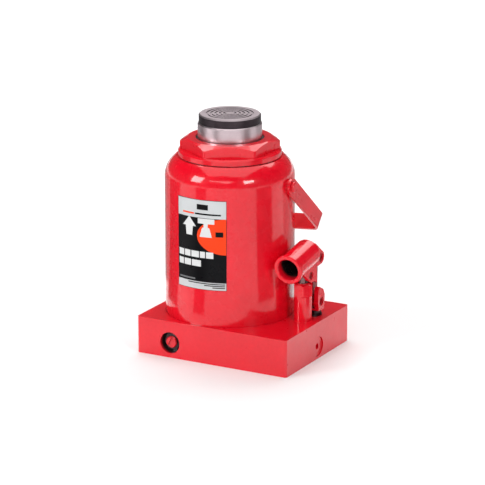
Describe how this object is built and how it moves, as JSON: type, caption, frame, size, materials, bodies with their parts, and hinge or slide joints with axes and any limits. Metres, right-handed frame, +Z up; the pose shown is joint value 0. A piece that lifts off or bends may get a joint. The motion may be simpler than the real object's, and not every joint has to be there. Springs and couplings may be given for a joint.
{
  "type": "hydraulic bottle jack",
  "caption": "Hydraulic bottle jack with rectangular base, round oil tank, hex top nut, grooved saddle on a rising ram, hand pump with handle socket and folding strap handle.",
  "frame": {"origin": "on the ram's axis in the plane of the floor, under the base", "axes": "+Z up along the ram, -Y towards the operator (the side with the release valve and the socket's mouth), +X towards the hand pump"},
  "size_m": [0.2035, 0.174, 0.285],
  "materials": {
    "base_paint": "gloss",
    "tank_paint": "gloss",
    "nut_paint": "gloss",
    "handle_paint": "gloss",
    "pump_paint": "gloss",
    "valve_paint": "gloss",
    "socket_paint": "gloss",
    "pin_paint": "gloss",
    "machined_steel": "turned",
    "ball_steel": "polished",
    "spring_steel": "drawn wire",
    "dark_steel": "black oxide",
    "plunger_steel": "ground, oily",
    "ram_steel": "ground and polished",
    "saddle_steel": "dark turned",
    "bronze": "turned",
    "copper": "soft",
    "black_rubber": "matt",
    "white_plastic": "matt",
    "label_film": "printed film"
  },
  "bodies": {
    "jack": {"base_block": "base_paint", "reservoir_tank": "tank_paint", "top_nut": "nut_paint", "carry_handle_bosses": "tank_paint", "carry_handle_screws": "nut_paint", "pump_cylinder": "pump_paint", "fulcrum_bracket": "pump_paint", "side_passage_plug": "base_paint", "pressure_cylinder": "machined_steel", "cylinder_base_seal": "copper", "tank_bottom_gasket": "black_rubber", "tank_top_gasket": "black_rubber", "guide_bush": "bronze", "rod_seal": "black_rubber", "ram_wiper": "black_rubber", "oil_filler_plug": "black_rubber", "label": "label_film", "pump_base_washer": "copper", "plunger_packing": "black_rubber", "pump_gland": "pump_paint", "bracket_washer": "dark_steel", "bracket_nut": "dark_steel", "lower_link_pin": "pin_paint", "bracket_pin_circlips": "pin_paint", "suction_strainer": "bronze", "outlet_check_spring": "spring_steel", "outlet_spring_retainer": "machined_steel", "relief_spring": "spring_steel", "relief_adjusting_screw": "dark_steel", "release_gland_nut": "dark_steel"},
    "ram_assembly": {"ram": "ram_steel", "saddle": "saddle_steel", "piston_head": "machined_steel", "piston_wear_ring": "bronze", "piston_backup_ring": "white_plastic", "piston_seal": "black_rubber", "piston_retaining_nut": "dark_steel"},
    "carry_handle": {"carry_handle": "handle_paint"},
    "pump_plunger": {"pump_plunger": "plunger_steel"},
    "handle_socket": {"handle_socket": "socket_paint", "plunger_pin": "pin_paint", "upper_link_pin": "pin_paint", "socket_pin_circlips": "pin_paint"},
    "fulcrum_link": {"fulcrum_link": "dark_steel"},
    "release_seal": {"release_valve_o_ring": "black_rubber"},
    "release_valve": {"release_valve_stem": "valve_paint", "release_valve_ball": "ball_steel"},
    "inlet_ball": {"inlet_check_ball": "ball_steel"},
    "outlet_ball": {"outlet_check_ball": "ball_steel"},
    "relief_ball": {"relief_ball": "ball_steel"}
  },
  "joints": [
    {"name": "ram_lift", "type": "slide", "parent": "jack", "child": "ram_assembly", "axis": [0, 0, 1], "range_m": [0, 0.165]},
    {"name": "carry_handle_swing", "type": "hinge", "parent": "jack", "child": "carry_handle", "pos_m": [0, 0.004, 0.2045], "axis": [1, 0, 0], "range_deg": [0, 250]},
    {"name": "handle_pivot", "type": "hinge", "parent": "pump_plunger", "child": "handle_socket", "pos_m": [0.097, 0.002, 0.1005], "axis": [-1, 0, 0], "range_deg": [0, 45]},
    {"name": "plunger_slide", "type": "slide", "parent": "jack", "child": "pump_plunger", "axis": [0, 0, 1], "range_m": [0, 0.02246]},
    {"name": "link_swing", "type": "hinge", "parent": "jack", "child": "fulcrum_link", "pos_m": [0.097, 0.0265, 0.0625], "axis": [-1, 0, 0], "range_deg": [0, 5.83]},
    {"name": "release_travel", "type": "slide", "parent": "jack", "child": "release_seal", "axis": [0, -1, 0], "range_m": [0, 0.00226]},
    {"name": "release_turn", "type": "hinge", "parent": "release_seal", "child": "release_valve", "pos_m": [-0.0375, -0.07, 0.0183], "axis": [0, -1, 0], "range_deg": [0, 540]},
    {"name": "inlet_ball_lift", "type": "slide", "parent": "jack", "child": "inlet_ball", "axis": [0, 0, 1], "range_m": [0, 0.0015]},
    {"name": "outlet_ball_lift", "type": "slide", "parent": "jack", "child": "outlet_ball", "axis": [0, 0, 1], "range_m": [0, 0.001], "deforming": ["outlet_check_spring"]},
    {"name": "relief_ball_lift", "type": "slide", "parent": "jack", "child": "relief_ball", "axis": [0, 0, 1], "range_m": [0, 0.0015], "deforming": ["relief_spring"]}
  ],
  "couplings": [
    {"joint": "plunger_slide", "follows": "handle_pivot", "m_per_rad": 0.028575},
    {"joint": "link_swing", "follows": "handle_pivot", "ratio": 0.129},
    {"joint": "release_travel", "follows": "release_turn", "m_per_rad": 0.00023873}
  ]
}
